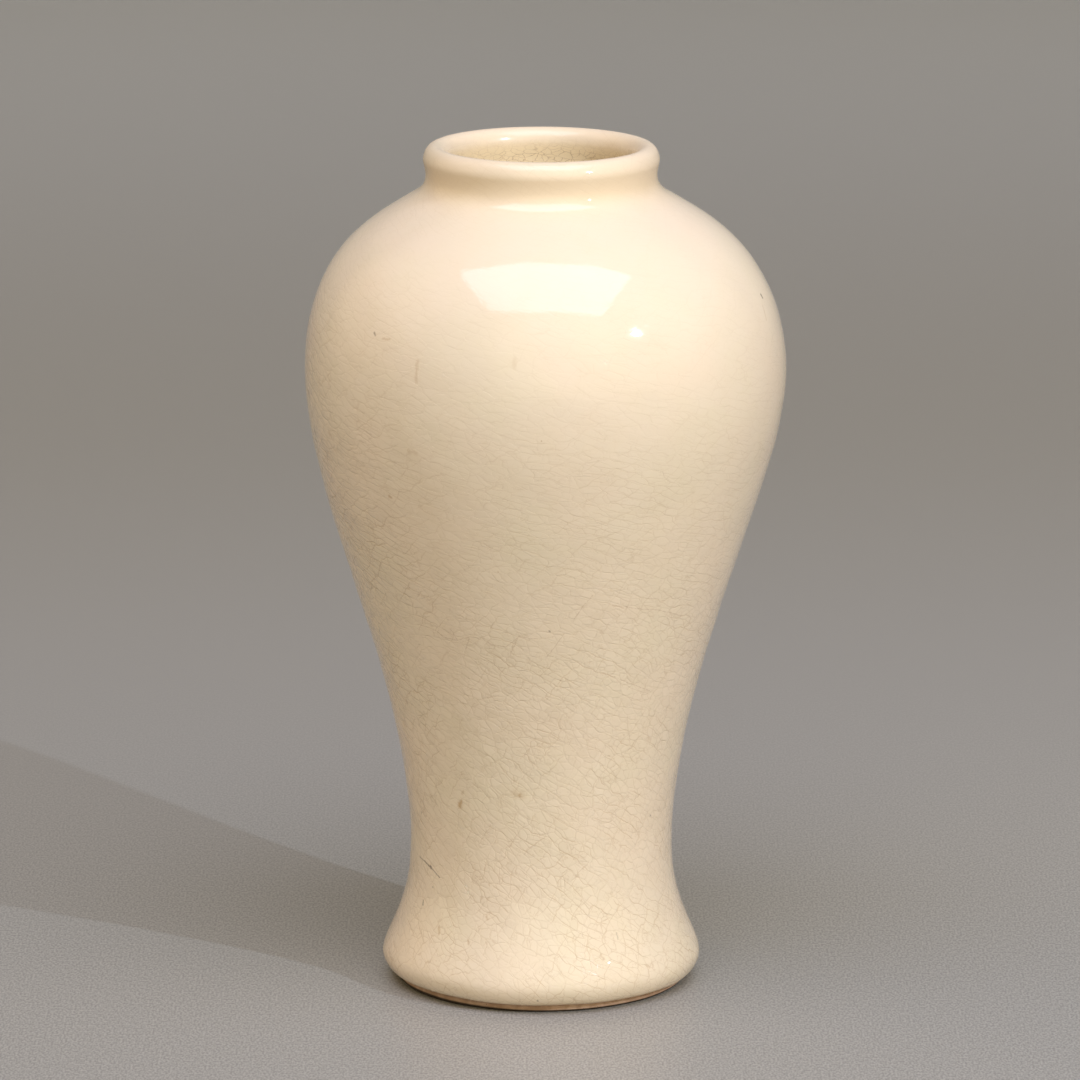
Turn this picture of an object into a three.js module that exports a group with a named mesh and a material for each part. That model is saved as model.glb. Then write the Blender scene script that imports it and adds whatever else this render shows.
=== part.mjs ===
// Crackle-glazed baluster vase: a clay body thrown in three sections and luted together with slip,
// coated with glaze outside, inside and under the base.
// Millimetres, +Z up. The origin is the centre of the foot ring's flat underside.
import * as THREE from "three";

// Heights of the outline's stages, stacked from the table up to the crest of the lip
const FOOT_RING_HEIGHT = 1.6; // bare clay below the glaze edge
const FOOT_ROLL_HEIGHT = 3.6; // glaze edge to the widest line of the foot
const STEM_HEIGHT = 20.8; // widest line of the foot to the waist
const BODY_HEIGHT = 95; // waist to the shoulder's widest line
const SHOULDER_HEIGHT = 37.4; // shoulder's widest line to the groove of the neck
const NECK_HEIGHT = 3.6; // groove of the neck to the widest line of the lip
const LIP_RISE = 3; // widest line of the lip to its crest

// Radii and widths of the glazed outline
const FOOT_RADIUS = 31;
const FOOT_OVERHANG = 2.6; // how far the glazed foot stands out over its bottom edge
const WAIST_RADIUS = 25.5;
const SHOULDER_RADIUS = 46.5;
const NECK_RADIUS = 22.45;
const LIP_ROLL = 0.35; // how far the lip stands out beyond the neck
const LIP_OUTER_WIDTH = 2.2; // widest line of the lip to its crest
const LIP_INNER_WIDTH = 2.4; // crest of the lip to the throat

// How full each stage of the outline is at its lower and upper end, as shares of its height
const STEM_FULLNESS = { lower: 0.125, upper: 0.53 };
const BODY_FULLNESS = { lower: 0.373, upper: 0.24 };
const SHOULDER_FULLNESS = { lower: 0.81, upper: 0.142 };
const NECK_FULLNESS = { lower: 0.9, upper: 0.17 };
const INNER_SHOULDER_FULLNESS = { lower: 0.78, upper: 0.25 };

// Walls and coats
const WALL = 5.8; // whole wall of belly and stem, with both coats
const GLAZE = 0.7; // thickness of each coat
const COAT_GAP = 0.3; // clearance between a coat and the clay that carries it
const THROAT_DEPTH = 8; // crest of the lip to the end of the straight throat
const FLOOR = 5; // clay between the inside and the recess
const FLOOR_ROUND = 10; // rounding where the inside wall meets the floor

// Foot
const FOOT_RING_WIDTH = 5.5; // ring that stands on the table
const FOOT_CHAMFER = 0.4;
const RECESS_WALL = 1; // straight edge of the recess under the base
const RECESS_ROUND = 2; // rounding between that edge and the recess's ceiling

// Luted joints
const BELLY_SEAM_ABOVE_WAIST = 50;
const NECK_SEAM_BELOW_NECK = 6.4;
const SEAM_BEVEL = 1.5; // how much higher a joint lies inside than outside
const SLIP = 1; // thickness of the slip in a joint

// Faceting
const SIDES = 36;
const STEM_STEPS = 6;
const BODY_STEPS = 8;
const SHOULDER_STEPS = 9;
const NECK_STEPS = 2;
const INNER_SHOULDER_STEPS = 7;
const INNER_BODY_STEPS = 6;
const ROUND_STEPS = 3;
const SAME_POINT = 1e-4;

// Sizes that follow from those above
const COAT_DEPTH = GLAZE + COAT_GAP;
const FOOT_LEVEL = FOOT_RING_HEIGHT + FOOT_ROLL_HEIGHT;
const WAIST_LEVEL = FOOT_LEVEL + STEM_HEIGHT;
const SHOULDER_LEVEL = WAIST_LEVEL + BODY_HEIGHT;
const NECK_LEVEL = SHOULDER_LEVEL + SHOULDER_HEIGHT;
const LIP_LEVEL = NECK_LEVEL + NECK_HEIGHT;
const THROAT_LEVEL = LIP_LEVEL + LIP_RISE - THROAT_DEPTH;
const RECESS_DEPTH = RECESS_WALL + RECESS_ROUND;
const FLOOR_LEVEL = RECESS_DEPTH + FLOOR + COAT_DEPTH;
const GLAZE_EDGE_RADIUS = FOOT_RADIUS - FOOT_OVERHANG;
const FOOT_RING_RADIUS = GLAZE_EDGE_RADIUS - COAT_GAP;
const RECESS_RADIUS = FOOT_RING_RADIUS - FOOT_RING_WIDTH;
const LIP_RADIUS = NECK_RADIUS + LIP_ROLL;
const CREST_RADIUS = LIP_RADIUS - LIP_OUTER_WIDTH;
const THROAT_RADIUS = CREST_RADIUS - LIP_INNER_WIDTH;
const INNER_WAIST_RADIUS = WAIST_RADIUS - WALL;
const INNER_SHOULDER_RADIUS = SHOULDER_RADIUS - WALL;
const BELLY_SEAM = WAIST_LEVEL + BELLY_SEAM_ABOVE_WAIST;
const NECK_SEAM = NECK_LEVEL - NECK_SEAM_BELOW_NECK;

const FIRED_CLAY = new THREE.MeshStandardMaterial({ color: 0xa88468, roughness: 0.85, metalness: 0 });
const DRIED_SLIP = new THREE.MeshStandardMaterial({ color: 0xc9ad8c, roughness: 0.9, metalness: 0 });
const CREAM_GLAZE = new THREE.MeshStandardMaterial({ color: 0xf0e0c6, roughness: 0.2, metalness: 0 });
const INNER_CREAM_GLAZE = new THREE.MeshStandardMaterial({ color: 0xdcc39b, roughness: 0.3, metalness: 0 });

const at = (radius, level) => new THREE.Vector2(radius, level);

// The skin of the vase is one line in the half plane of radius and height. It runs from the glaze
// edge up the outside, over the lip and down the inside to the middle of the floor, so the wall is
// always on its left. Each piece of it is a function of how deep into the wall the line is set.

// An upright S or swell between two heights, set in along its own normals
function stage(start, end, fullness, steps) {
  const rise = Math.abs(end.y - start.y);
  const up = Math.sign(end.y - start.y);
  const first = up > 0 ? fullness.lower : fullness.upper;
  const last = up > 0 ? fullness.upper : fullness.lower;
  const startHandle = at(start.x, start.y + up * first * rise);
  const endHandle = at(end.x, end.y - up * last * rise);
  const curve = new THREE.CubicBezierCurve(start, startHandle, endHandle, end);
  const places = Array.from({ length: steps + 1 }, (_, i) => i / steps);
  return (depth) => places.map((t) => {
    const along = curve.getTangent(t);
    return curve.getPoint(t).add(at(-along.y, along.x).multiplyScalar(depth));
  });
}

// A quarter of an ellipse about its centre, from one angle to another, with both radii set in
function quarterRound(centre, width, rise, startAngle, endAngle) {
  const clockwise = endAngle < startAngle;
  return (depth) => new THREE.EllipseCurve(
    centre.x, centre.y, width - depth, rise - depth, startAngle, endAngle, clockwise,
  ).getPoints(ROUND_STEPS);
}

const footRoll = quarterRound(
  at(GLAZE_EDGE_RADIUS, FOOT_LEVEL), FOOT_OVERHANG, FOOT_ROLL_HEIGHT, -Math.PI / 2, 0);
const stem = stage(
  at(FOOT_RADIUS, FOOT_LEVEL), at(WAIST_RADIUS, WAIST_LEVEL), STEM_FULLNESS, STEM_STEPS);
const body = stage(
  at(WAIST_RADIUS, WAIST_LEVEL), at(SHOULDER_RADIUS, SHOULDER_LEVEL), BODY_FULLNESS, BODY_STEPS);
const shoulder = stage(
  at(SHOULDER_RADIUS, SHOULDER_LEVEL), at(NECK_RADIUS, NECK_LEVEL), SHOULDER_FULLNESS, SHOULDER_STEPS);
const neck = stage(
  at(NECK_RADIUS, NECK_LEVEL), at(LIP_RADIUS, LIP_LEVEL), NECK_FULLNESS, NECK_STEPS);
const crest = at(CREST_RADIUS, LIP_LEVEL);
const lipOutside = quarterRound(crest, LIP_OUTER_WIDTH, LIP_RISE, 0, Math.PI / 2);
const lipInside = quarterRound(crest, LIP_INNER_WIDTH, LIP_RISE, Math.PI / 2, Math.PI);
const throatEnd = (depth) => [at(THROAT_RADIUS + depth, THROAT_LEVEL)];
const innerShoulder = stage(
  at(THROAT_RADIUS, THROAT_LEVEL), at(INNER_SHOULDER_RADIUS, SHOULDER_LEVEL),
  INNER_SHOULDER_FULLNESS, INNER_SHOULDER_STEPS);
const innerBody = stage(
  at(INNER_SHOULDER_RADIUS, SHOULDER_LEVEL), at(INNER_WAIST_RADIUS, WAIST_LEVEL),
  BODY_FULLNESS, INNER_BODY_STEPS);
const floorCorner = at(INNER_WAIST_RADIUS - FLOOR_ROUND, FLOOR_LEVEL + FLOOR_ROUND);
const hollowRound = quarterRound(floorCorner, FLOOR_ROUND, FLOOR_ROUND, 0, -Math.PI / 2);
const floorRound = (depth) => hollowRound(-depth);
const floorMiddle = (depth) => [at(0, FLOOR_LEVEL - depth)];

const OUTSIDE = [footRoll, stem, body, shoulder, neck, lipOutside];
const MOUTH = [lipInside, throatEnd];
const INSIDE = [innerShoulder, innerBody, floorRound, floorMiddle];

const setIn = (pieces, depth) => pieces.flatMap((piece) => piece(depth));

// The part of a line whose height passes a test, ending exactly at the given level
function clipped(line, passes, level) {
  const kept = [];
  line.forEach((point, i) => {
    const before = line[i - 1];
    if (before && passes(before.y) !== passes(point.y)) {
      const share = (level - before.y) / (point.y - before.y);
      kept.push(at(THREE.MathUtils.lerp(before.x, point.x, share), level));
    }
    if (passes(point.y)) {
      kept.push(point);
    }
  });
  return kept;
}

const above = (line, level) => clipped(line, (height) => height > level, level);
const below = (line, level) => clipped(line, (height) => height < level, level);

// A closed section turned round the vertical axis
function turned(name, section, material) {
  const outline = section.filter((point, i) => i === 0 || point.distanceTo(section[i - 1]) > SAME_POINT);
  const first = outline[0];
  const last = outline[outline.length - 1];
  const endsOnAxis = first.x === 0 && last.x === 0;
  if (!endsOnAxis && first.distanceTo(last) > SAME_POINT) {
    outline.push(first);
  }
  const mesh = new THREE.Mesh(new THREE.LatheGeometry(outline, SIDES).rotateX(Math.PI / 2), material);
  mesh.name = name;
  return mesh;
}

// Clay wall: the outside and inside lines of the body, both set in under the coats
const clayOutside = setIn(OUTSIDE, COAT_DEPTH);
const clayInside = setIn([...MOUTH, ...INSIDE], COAT_DEPTH);

// A ring of the wall between two bevelled cuts, each SEAM_BEVEL higher inside than outside
const wallRing = (low, high) => [
  ...above(below(clayOutside, high), low),
  ...above(below(clayInside, high + SEAM_BEVEL), low + SEAM_BEVEL),
];

// Ceiling and edge of the recess under the base, from the axis outwards, set in by a coat
function recess(depth) {
  const corner = at(RECESS_RADIUS - RECESS_ROUND, RECESS_WALL);
  const edge = quarterRound(corner, RECESS_ROUND, RECESS_ROUND, Math.PI / 2, 0);
  return [at(0, RECESS_DEPTH - depth), ...edge(depth)];
}

// Foot ring: inner edge, chamfered standing face and bare outer wall up behind the glaze edge
const footRing = [
  at(RECESS_RADIUS, 0),
  at(FOOT_RING_RADIUS - FOOT_CHAMFER, 0),
  at(FOOT_RING_RADIUS, FOOT_CHAMFER),
  at(FOOT_RING_RADIUS, FOOT_RING_HEIGHT + COAT_DEPTH),
];

const lowerBody = turned("lower_body", [
  ...recess(0),
  ...footRing,
  ...below(clayOutside, BELLY_SEAM),
  ...below(clayInside, BELLY_SEAM + SEAM_BEVEL),
], FIRED_CLAY);

const bellySlipRing = turned("belly_slip_ring", wallRing(BELLY_SEAM, BELLY_SEAM + SLIP), DRIED_SLIP);
const upperBody = turned("upper_body", wallRing(BELLY_SEAM + SLIP, NECK_SEAM), FIRED_CLAY);
const neckSlipRing = turned("neck_slip_ring", wallRing(NECK_SEAM, NECK_SEAM + SLIP), DRIED_SLIP);
const mouthRing = turned("mouth_ring", wallRing(NECK_SEAM + SLIP, Infinity), FIRED_CLAY);

// The outer coat turns in over the lip and stops a clearance above the inner coat
const outerCoat = (depth) => [
  ...setIn(OUTSIDE, depth),
  ...above(setIn(MOUTH, depth), THROAT_LEVEL + COAT_GAP),
];
const outerGlaze = turned("outer_glaze", [...outerCoat(0), ...outerCoat(GLAZE).reverse()], CREAM_GLAZE);

const innerGlaze = turned("inner_glaze", [
  ...setIn(INSIDE, GLAZE).reverse(),
  ...setIn(INSIDE, 0),
], INNER_CREAM_GLAZE);

const baseGlaze = turned("base_glaze", [...recess(COAT_DEPTH), ...recess(COAT_GAP).reverse()], CREAM_GLAZE);

const vase = new THREE.Group();
vase.add(
  lowerBody, bellySlipRing, upperBody, neckSlipRing, mouthRing, outerGlaze, innerGlaze, baseGlaze);

export default vase;
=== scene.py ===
# %% [markdown]
# # A crackle-glazed baluster vase
# The vase is one fired pot: three thrown sections of clay luted together with slip, and a coat of
# cream glaze outside, inside and under the foot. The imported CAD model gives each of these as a
# turned solid with 36 flat sides. Here every one is turned again with a smooth outline and the
# small irregularities of hand work, and then gets its finish. All of it is in metres, Z up, in the
# frame of the CAD model, so no piece has to be fitted.

# %% Load the frame
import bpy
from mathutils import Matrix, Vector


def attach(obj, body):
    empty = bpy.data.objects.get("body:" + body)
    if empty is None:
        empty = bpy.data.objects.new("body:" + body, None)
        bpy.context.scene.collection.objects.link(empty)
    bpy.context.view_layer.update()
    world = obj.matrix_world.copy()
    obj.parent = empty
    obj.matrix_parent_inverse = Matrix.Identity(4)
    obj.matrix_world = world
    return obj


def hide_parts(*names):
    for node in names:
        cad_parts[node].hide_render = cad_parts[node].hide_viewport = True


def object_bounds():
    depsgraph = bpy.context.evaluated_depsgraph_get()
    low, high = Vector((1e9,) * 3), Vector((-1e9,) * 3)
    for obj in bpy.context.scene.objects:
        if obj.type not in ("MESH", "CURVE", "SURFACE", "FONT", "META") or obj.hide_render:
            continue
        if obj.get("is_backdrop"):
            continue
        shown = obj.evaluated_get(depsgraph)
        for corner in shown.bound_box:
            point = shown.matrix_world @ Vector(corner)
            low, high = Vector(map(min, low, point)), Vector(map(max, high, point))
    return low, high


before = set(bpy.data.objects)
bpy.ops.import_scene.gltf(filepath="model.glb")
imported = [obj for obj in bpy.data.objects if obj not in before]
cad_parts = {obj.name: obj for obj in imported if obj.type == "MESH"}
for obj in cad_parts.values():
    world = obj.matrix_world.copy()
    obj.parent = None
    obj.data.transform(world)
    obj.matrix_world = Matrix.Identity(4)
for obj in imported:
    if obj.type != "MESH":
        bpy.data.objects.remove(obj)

import inspect

import bmesh
import bpy
import numpy as np
from mathutils import Vector

MM = 0.001
cad_box = [list(corner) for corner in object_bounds()]
print("CAD box in mm:", np.round(np.array(cad_box) / MM, 1).tolist())

# %% [markdown]
# ## Reading a section back from a turned solid
# A turned piece is known by its section, the line that the wheel carried round. The numbers could
# be typed in again, but then they could drift from the CAD model. The mesh already holds them: its
# columns stand every ten degrees, so the mesh edges that lie in the half plane to the right of the
# axis are the section, and following them from point to point puts it in order.

# %% Section of a turned node
SAME_POINT = 1e-6


def read(items, name, width, kind):
    """One property of every mesh element, as an array with `width` numbers in a row."""
    values = np.zeros(len(items) * width, kind)
    items.foreach_get(name, values)
    return values.reshape(-1, width)


def in_order(links):
    """Point numbers in the order in which the links lead from each point to the next."""
    numbers, uses = np.unique(links, return_counts=True)
    chain = [numbers[np.argmin(uses)]]
    while len(links):
        row = np.argmax((links == chain[-1]).any(axis=1))
        chain.append(links[row].sum() - chain[-1])
        links = np.delete(links, row, axis=0)
    return chain


def section_of(node):
    """Points (radius, height) of a turned node's section, anticlockwise, and whether they close.

    The node's triangles are merged in a copy, the edges with both ends at y = 0 and x >= 0 are
    kept, and they are followed from point to point. A section that meets the axis starts and ends
    there. The sign of the area inside the section tells which way round it runs.
    """
    work = bmesh.new()
    work.from_mesh(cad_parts[node].data)
    bmesh.ops.remove_doubles(work, verts=work.verts, dist=SAME_POINT)
    merged = bpy.data.meshes.new(node + "_merged")
    work.to_mesh(merged)
    work.free()
    x, y, z = read(merged.vertices, "co", 3, np.float32).astype(float).T
    ends = read(merged.edges, "vertices", 2, np.int32)
    bpy.data.meshes.remove(merged)
    beside_axis = (np.abs(y) < SAME_POINT) & (x > -SAME_POINT)
    order = in_order(ends[beside_axis[ends].all(axis=1)])
    closed = bool(order[0] == order[-1])
    points = np.c_[x, z][order[:-1] if closed else order]
    following = np.roll(points, -1, axis=0)
    area = np.sum(points[:, 0] * following[:, 1] - following[:, 0] * points[:, 1])
    return (points if area > 0 else points[::-1]), closed


sections = {node: section_of(node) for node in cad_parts}
for node, (points, closed) in sections.items():
    print(node, len(points), "section points,", "a ring" if closed else "meets the axis")

# %% [markdown]
# ## Smoothing a section
# A subdivision modifier would shrink the curves between the CAD model's corners. A spline passes
# through every point of the section instead, so the sizes stay. It breaks where the section has a
# real corner, such as the edge of a coat, and where a long flat meets a small round, which would
# make a spline swing out. There a small parabola takes the corner's place, because no fired edge is
# as sharp as a knife.

# %% Curve through points
TEST_POINTS = 7
TEST_PLACES = 50


def bend_through(points, places):
    """Smooth curve through points, read at places measured along their chords.

    Between neighbouring points each coordinate is a cubic, and the cubics meet with equal slope and
    equal bending. One linear system gives the bending at every point. At both ends the first two
    cubics are one and the same.
    """
    chord = np.hypot(*np.diff(points, axis=0).T)
    knots = np.append(0, np.cumsum(chord))
    system = np.eye(len(points))
    pull = np.zeros_like(points)
    if len(points) > 3:
        inner = np.arange(1, len(points) - 1)
        system[inner, inner - 1] = chord[:-1]
        system[inner, inner] = 2 * (chord[:-1] + chord[1:])
        system[inner, inner + 1] = chord[1:]
        pull[inner] = 6 * np.diff(np.diff(points, axis=0) / chord[:, None], axis=0)
        system[0, :3] = chord[1], -chord[0] - chord[1], chord[0]
        system[-1, -3:] = chord[-1], -chord[-1] - chord[-2], chord[-2]
    bending = np.linalg.solve(system, pull)
    span = np.clip(np.searchsorted(knots, places, side="right") - 1, 0, len(chord) - 1)
    ahead = ((places - knots[span]) / chord[span])[:, None]
    behind = 1 - ahead
    weight = chord[span, None] ** 2 / 6
    on_chord = behind * points[span] + ahead * points[span + 1]
    return on_chord + weight * (
        (behind ** 3 - behind) * bending[span] + (ahead ** 3 - ahead) * bending[span + 1])


quarter = np.linspace(0, np.pi / 2, TEST_POINTS)
arc = np.c_[np.cos(quarter), np.sin(quarter)]
arc_length = np.hypot(*np.diff(arc, axis=0).T).sum()
arc_radii = np.hypot(*bend_through(arc, np.linspace(0, arc_length, TEST_PLACES)).T)
print("a quarter circle through", TEST_POINTS, "points is off by", round(np.ptp(arc_radii), 5), "radii")

# %% Corners of a section
CORNER = np.radians(40)
UNEVEN = 8


def runs_between_corners(points, closed):
    """Stretches of a section between its corners.

    A corner is where the line turns by more than CORNER, or where one chord is more than UNEVEN
    times as long as the next.
    """
    along = np.diff(points, axis=0, append=points[:1])
    heading = np.arctan2(along[:, 1], along[:, 0])
    turning = np.angle(np.exp(1j * (heading - np.roll(heading, 1))))
    lengths = np.log(np.hypot(*along.T))
    change = np.abs(lengths - np.roll(lengths, 1))
    corner = (np.abs(turning) > CORNER) | (change > np.log(UNEVEN))
    if closed:
        start = np.flatnonzero(corner)[np.argmin(points[corner, 1])]
        points = np.roll(points, -start, axis=0)
        corner = np.append(np.roll(corner, -start), True)
        points = np.vstack([points, points[:1]])
    corner[[0, -1]] = True
    cuts = np.flatnonzero(corner)
    return [points[a:b + 1] for a, b in zip(cuts, cuts[1:])]


runs_of = {node: runs_between_corners(*section) for node, section in sections.items()}
print("runs between corners:", {node: len(runs) for node, runs in runs_of.items()})

# %% Smooth outlines
EDGE_SOFTENING = 0.12 * MM
ROW_STEP = 1.1 * MM
LEAST_ROWS = 5
CORNER_ROWS = 3


def smooth_run(points, soft_start, soft_end):
    """Rows of a smooth line through points, stopping short of a softened corner at either end."""
    chord = np.hypot(*np.diff(points, axis=0).T)
    knots = np.append(0, np.cumsum(chord))
    rows = np.maximum(np.ceil(chord / ROW_STEP), LEAST_ROWS).astype(int)
    places = np.concatenate([np.linspace(*ends) for ends in zip(knots, knots[1:], rows + 1)])
    softening = min(EDGE_SOFTENING, knots[-1] / 3)
    low = softening * soft_start
    high = knots[-1] - softening * soft_end
    places = np.unique(np.concatenate([[low, high], places[(places > low) & (places < high)]]))
    return bend_through(points, places)


def outline_of(node):
    """Smooth section of a node, as rows of (radius, height).

    The runs between corners are splines. Each corner point c between the end a of one run and the
    start b of the next gives way to the parabola (1-t)^2 a + 2t(1-t) c + t^2 b.
    """
    runs = runs_of[node]
    closed = sections[node][1]
    last = len(runs) - 1
    lines = [smooth_run(run, closed or i > 0, closed or i < last) for i, run in enumerate(runs)]
    share = np.linspace(0, 1, CORNER_ROWS + 2)[1:-1, None]
    rows = []
    for i, line in enumerate(lines):
        rows.append(line)
        if closed or i < last:
            following = lines[(i + 1) % len(lines)][0]
            rows.append((1 - share) ** 2 * line[-1] + 2 * share * (1 - share) * runs[i][-1]
                        + share ** 2 * following)
    return np.concatenate(rows)


outlines = {node: outline_of(node) for node in sections}
for node, rows in outlines.items():
    print(node, len(rows), "rows, widest", round(rows[:, 0].max() / MM, 2), "mm")

# %% [markdown]
# ## The potter's hand
# A pot that is turned from its section alone looks made by a machine. On the real one the shoulder
# stands a little to one side, the body isn't quite round, and the surface swells and dips by
# hundredths of a millimetre, which makes the edges of its highlights waver. Noise on each mesh
# could do this, but then the coats would cut into the clay. One field of small moves, used for
# every piece, keeps the layers together.

# %% Small irregularities
LEAN = 0.82 * MM
LEAN_HEIGHT = 121 * MM
LEAN_SPREAD = 23 * MM
OVAL = 0.1 * MM
OVAL_TWIST = 14.0
RIPPLE = 0.02 * MM
RIPPLE_WAVES = 28
RIPPLE_MOST_TURNS = 17
RIPPLE_LENGTHS = 9 * MM, 26 * MM
CALM_RADIUS = 12 * MM
dice = np.random.default_rng(11)
ripple_turns = dice.integers(-RIPPLE_MOST_TURNS, RIPPLE_MOST_TURNS + 1, RIPPLE_WAVES)
ripple_rises = 2 * np.pi / dice.uniform(*RIPPLE_LENGTHS, RIPPLE_WAVES)
ripple_phases = dice.uniform(0, 2 * np.pi, RIPPLE_WAVES)


def ripple(angle, height):
    """Sum of waves that run up and round the pot, each whole in number round it, of unit strength."""
    waves = zip(ripple_turns, ripple_rises, ripple_phases)
    total = sum(np.cos(turns * angle + rise * height + phase) for turns, rise, phase in waves)
    return total * np.sqrt(2 / RIPPLE_WAVES)


def thrown(radius, height, angle):
    """Where the potter's hand puts the point at (radius, height, angle), as x, y and z.

    The radius gains an oval that twists slowly with height and the ripple, both fading out towards
    the axis. Then the whole level moves to the right by a bell curve of height.
    """
    swell = OVAL * np.cos(2 * angle + OVAL_TWIST * height) + RIPPLE * ripple(angle, height)
    radius = radius + swell * np.minimum(radius / CALM_RADIUS, 1)
    lean = LEAN * np.exp(-((height - LEAN_HEIGHT) / LEAN_SPREAD) ** 2)
    return radius * np.cos(angle) + lean, radius * np.sin(angle), height


axis_side, _, _ = thrown(0.0, LEAN_HEIGHT, 0.0)
print("the body leans", round(axis_side / MM, 2), "mm to the right at", round(LEAN_HEIGHT / MM), "mm")

# %% [markdown]
# ## Turning a mesh
# Blender's Screw modifier could spin the outline, but the irregularities need every point's angle
# and height. So the surface is a grid: rows along the outline, columns round the axis. Rows that
# end on the axis close in a fan of triangles, and all others in a ring.

# %% Grid of a turned piece
COLUMNS = 192
angles = np.linspace(0, 2 * np.pi, COLUMNS, endpoint=False)


def grid_faces(rows, closed):
    """Corner numbers of the quads between rows and columns, and of the fans at the two poles.

    Point (i, j) has number i * COLUMNS + j. Columns wrap round, and rows wrap if the outline closes.
    Without that, the two points after the grid are the poles under the first and over the last row.
    """
    column = np.arange(COLUMNS)
    beside = np.roll(column, -1)
    row = np.arange(rows if closed else rows - 1)[:, None] * COLUMNS
    over = (row + COLUMNS) % (rows * COLUMNS)
    quads = np.stack([row + column, row + beside, over + beside, over + column], axis=-1)
    faces = quads.reshape(-1, 4).tolist()
    if not closed:
        first = np.full(COLUMNS, rows * COLUMNS)
        top = (rows - 1) * COLUMNS
        faces += np.c_[first, beside, column].tolist()
        faces += np.c_[top + column, top + beside, first + 1].tolist()
    return faces


def spread(node, grid, at_poles):
    """Values on rows and columns as one list in the mesh's order, with the two poles at its end."""
    flat = grid.reshape(-1, *grid.shape[2:])
    return flat if sections[node][1] else np.concatenate([flat, at_poles])


def off_axis(node, rows):
    """The rows that get columns: all but the two points on the axis, where an outline has them."""
    return rows if sections[node][1] else rows[1:-1]


widest = max(rows[:, 0].max() for rows in outlines.values())
print("columns stand", round(2 * np.pi * widest / COLUMNS / MM, 2), "mm apart at the shoulder")


# %% Turning a piece
def turn(node, name, finish, slot, hem=None):
    """Turns a node's outline into a finished piece that rides on the body and replaces the node.

    Row i and column j meet at the outline's radius and height i and at angle j, moved by thrown.
    hem(angle, height) is a rise that the piece's lower edge gets before that.
    """
    radius, height = off_axis(node, outlines[node]).T[:, :, None]
    if hem:
        height = height + hem(angles, height)
    grid = np.stack(np.broadcast_arrays(*thrown(radius, height, angles)), axis=-1)
    poles = outlines[node][[0, -1]]
    points = spread(node, grid, np.c_[poles[:, 0], 0 * poles[:, 0], poles[:, 1]])
    mesh = bpy.data.meshes.new(name)
    mesh.from_pydata(points, [], grid_faces(len(radius), sections[node][1]))
    mesh.polygons.foreach_set("use_smooth", np.ones(len(mesh.polygons), bool))
    mesh.materials.append(finish)
    piece = bpy.data.objects.new(name, mesh)
    bpy.context.scene.collection.objects.link(piece)
    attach(piece, "root")
    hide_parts(node)
    mesh.calc_loop_triangles()
    print(name, "stands for", node, "with", len(mesh.loop_triangles), "triangles")
    return piece


def mark_points(piece, name, kind, values):
    """Stores one value for each point of a piece, for its material to read."""
    layer = piece.data.attributes.new(name, kind, "POINT")
    layer.data.foreach_set("vector" if kind == "FLOAT_VECTOR" else "value", np.ravel(values))


# %% [markdown]
# ## Where the crackle runs
# Crackle is the net of hairline cracks that a glaze gets when it shrinks more than the clay. On this
# pot the net is strained: the clay was twisted on the wheel, so the cells are drawn out along a
# slant, almost level on the belly and steeper on the stem. A cell texture in space would cut the
# skin at odd angles. So every point gets a place on a copy of the skin that is measured in cells, a
# surface of revolution with a radius and height of its own, twisted as it climbs.

# %% Places in the crackle
CRACKLE_HEIGHTS = np.array([0, 10, 25, 45, 65, 82, 100, 125, 150, 165]) * MM
CRACKLE_SLANTS = np.radians([30, 34, 38, 36, 28, 21, 14, 16, 18, 10])
CELL_WIDTHS = np.array([1.6, 1.5, 1.4, 1.4, 1.4, 1.4, 1.4, 1.4, 1.4, 1.4]) * MM
CELL_LENGTHS = np.array([2.3, 2.4, 2.4, 2.4, 2.3, 2.6, 3.2, 3.6, 3.2, 2.6]) * MM


def run_of(node):
    """Radius, height and length of the step to each row along a node's outline."""
    radius, height = outlines[node].T
    return radius, height, np.append(0, np.hypot(*np.diff(outlines[node], axis=0).T))


def lay_cells(node, piece, width, length, slant):
    """Stores each point's place in a net of cells of a width, a length and a slant for every row.

    A step d round and e up the skin counts (d cos - e sin) / length along the cells and
    (d sin + e cos) / width across them. The squares of both, added, hold d d, d e and e e. The first
    sets the copy's radius, the second its twist, and what the third has left sets its climb.
    """
    radius, _, step = run_of(node)
    round_square = (np.cos(slant) / length) ** 2 + (np.sin(slant) / width) ** 2
    mixed = np.cos(slant) * np.sin(slant) * (width ** -2 - length ** -2)
    around = radius * np.sqrt(round_square)
    grown = np.diff(around, prepend=around[0])
    left = (step / (width * length)) ** 2 / round_square - grown ** 2
    climb = np.cumsum(np.sqrt(np.maximum(left, 0)))
    twist = np.cumsum(step * mixed / (round_square * np.maximum(radius, CALM_RADIUS)))
    turned = angles + off_axis(node, twist)[:, None]
    reach = off_axis(node, around)[:, None]
    places = reach * np.cos(turned), reach * np.sin(turned), off_axis(node, climb)[:, None]
    grid = np.stack(np.broadcast_arrays(*places), axis=-1)
    poles = np.c_[[0, 0], [0, 0], climb[[0, -1]]]
    mark_points(piece, "crackle_place", "FLOAT_VECTOR", spread(node, grid, poles))
    print(piece.name, "is", round(2 * np.pi * around.max()), "cells round at most")


print("cells are up to", round(CELL_LENGTHS.max() / CELL_WIDTHS.min(), 1), "times as long as wide")

# %% [markdown]
# ## Cracks that run on
# Some cracks run on from cell to cell and wind far round the pot, like the thread of a screw. These
# are counted: a whole number of threads round the pot keeps them free of a seam, and each row only
# needs to know how far they have climbed. The points also carry how deep the relief is, which is
# strongest on the left of the shoulder.

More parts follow.
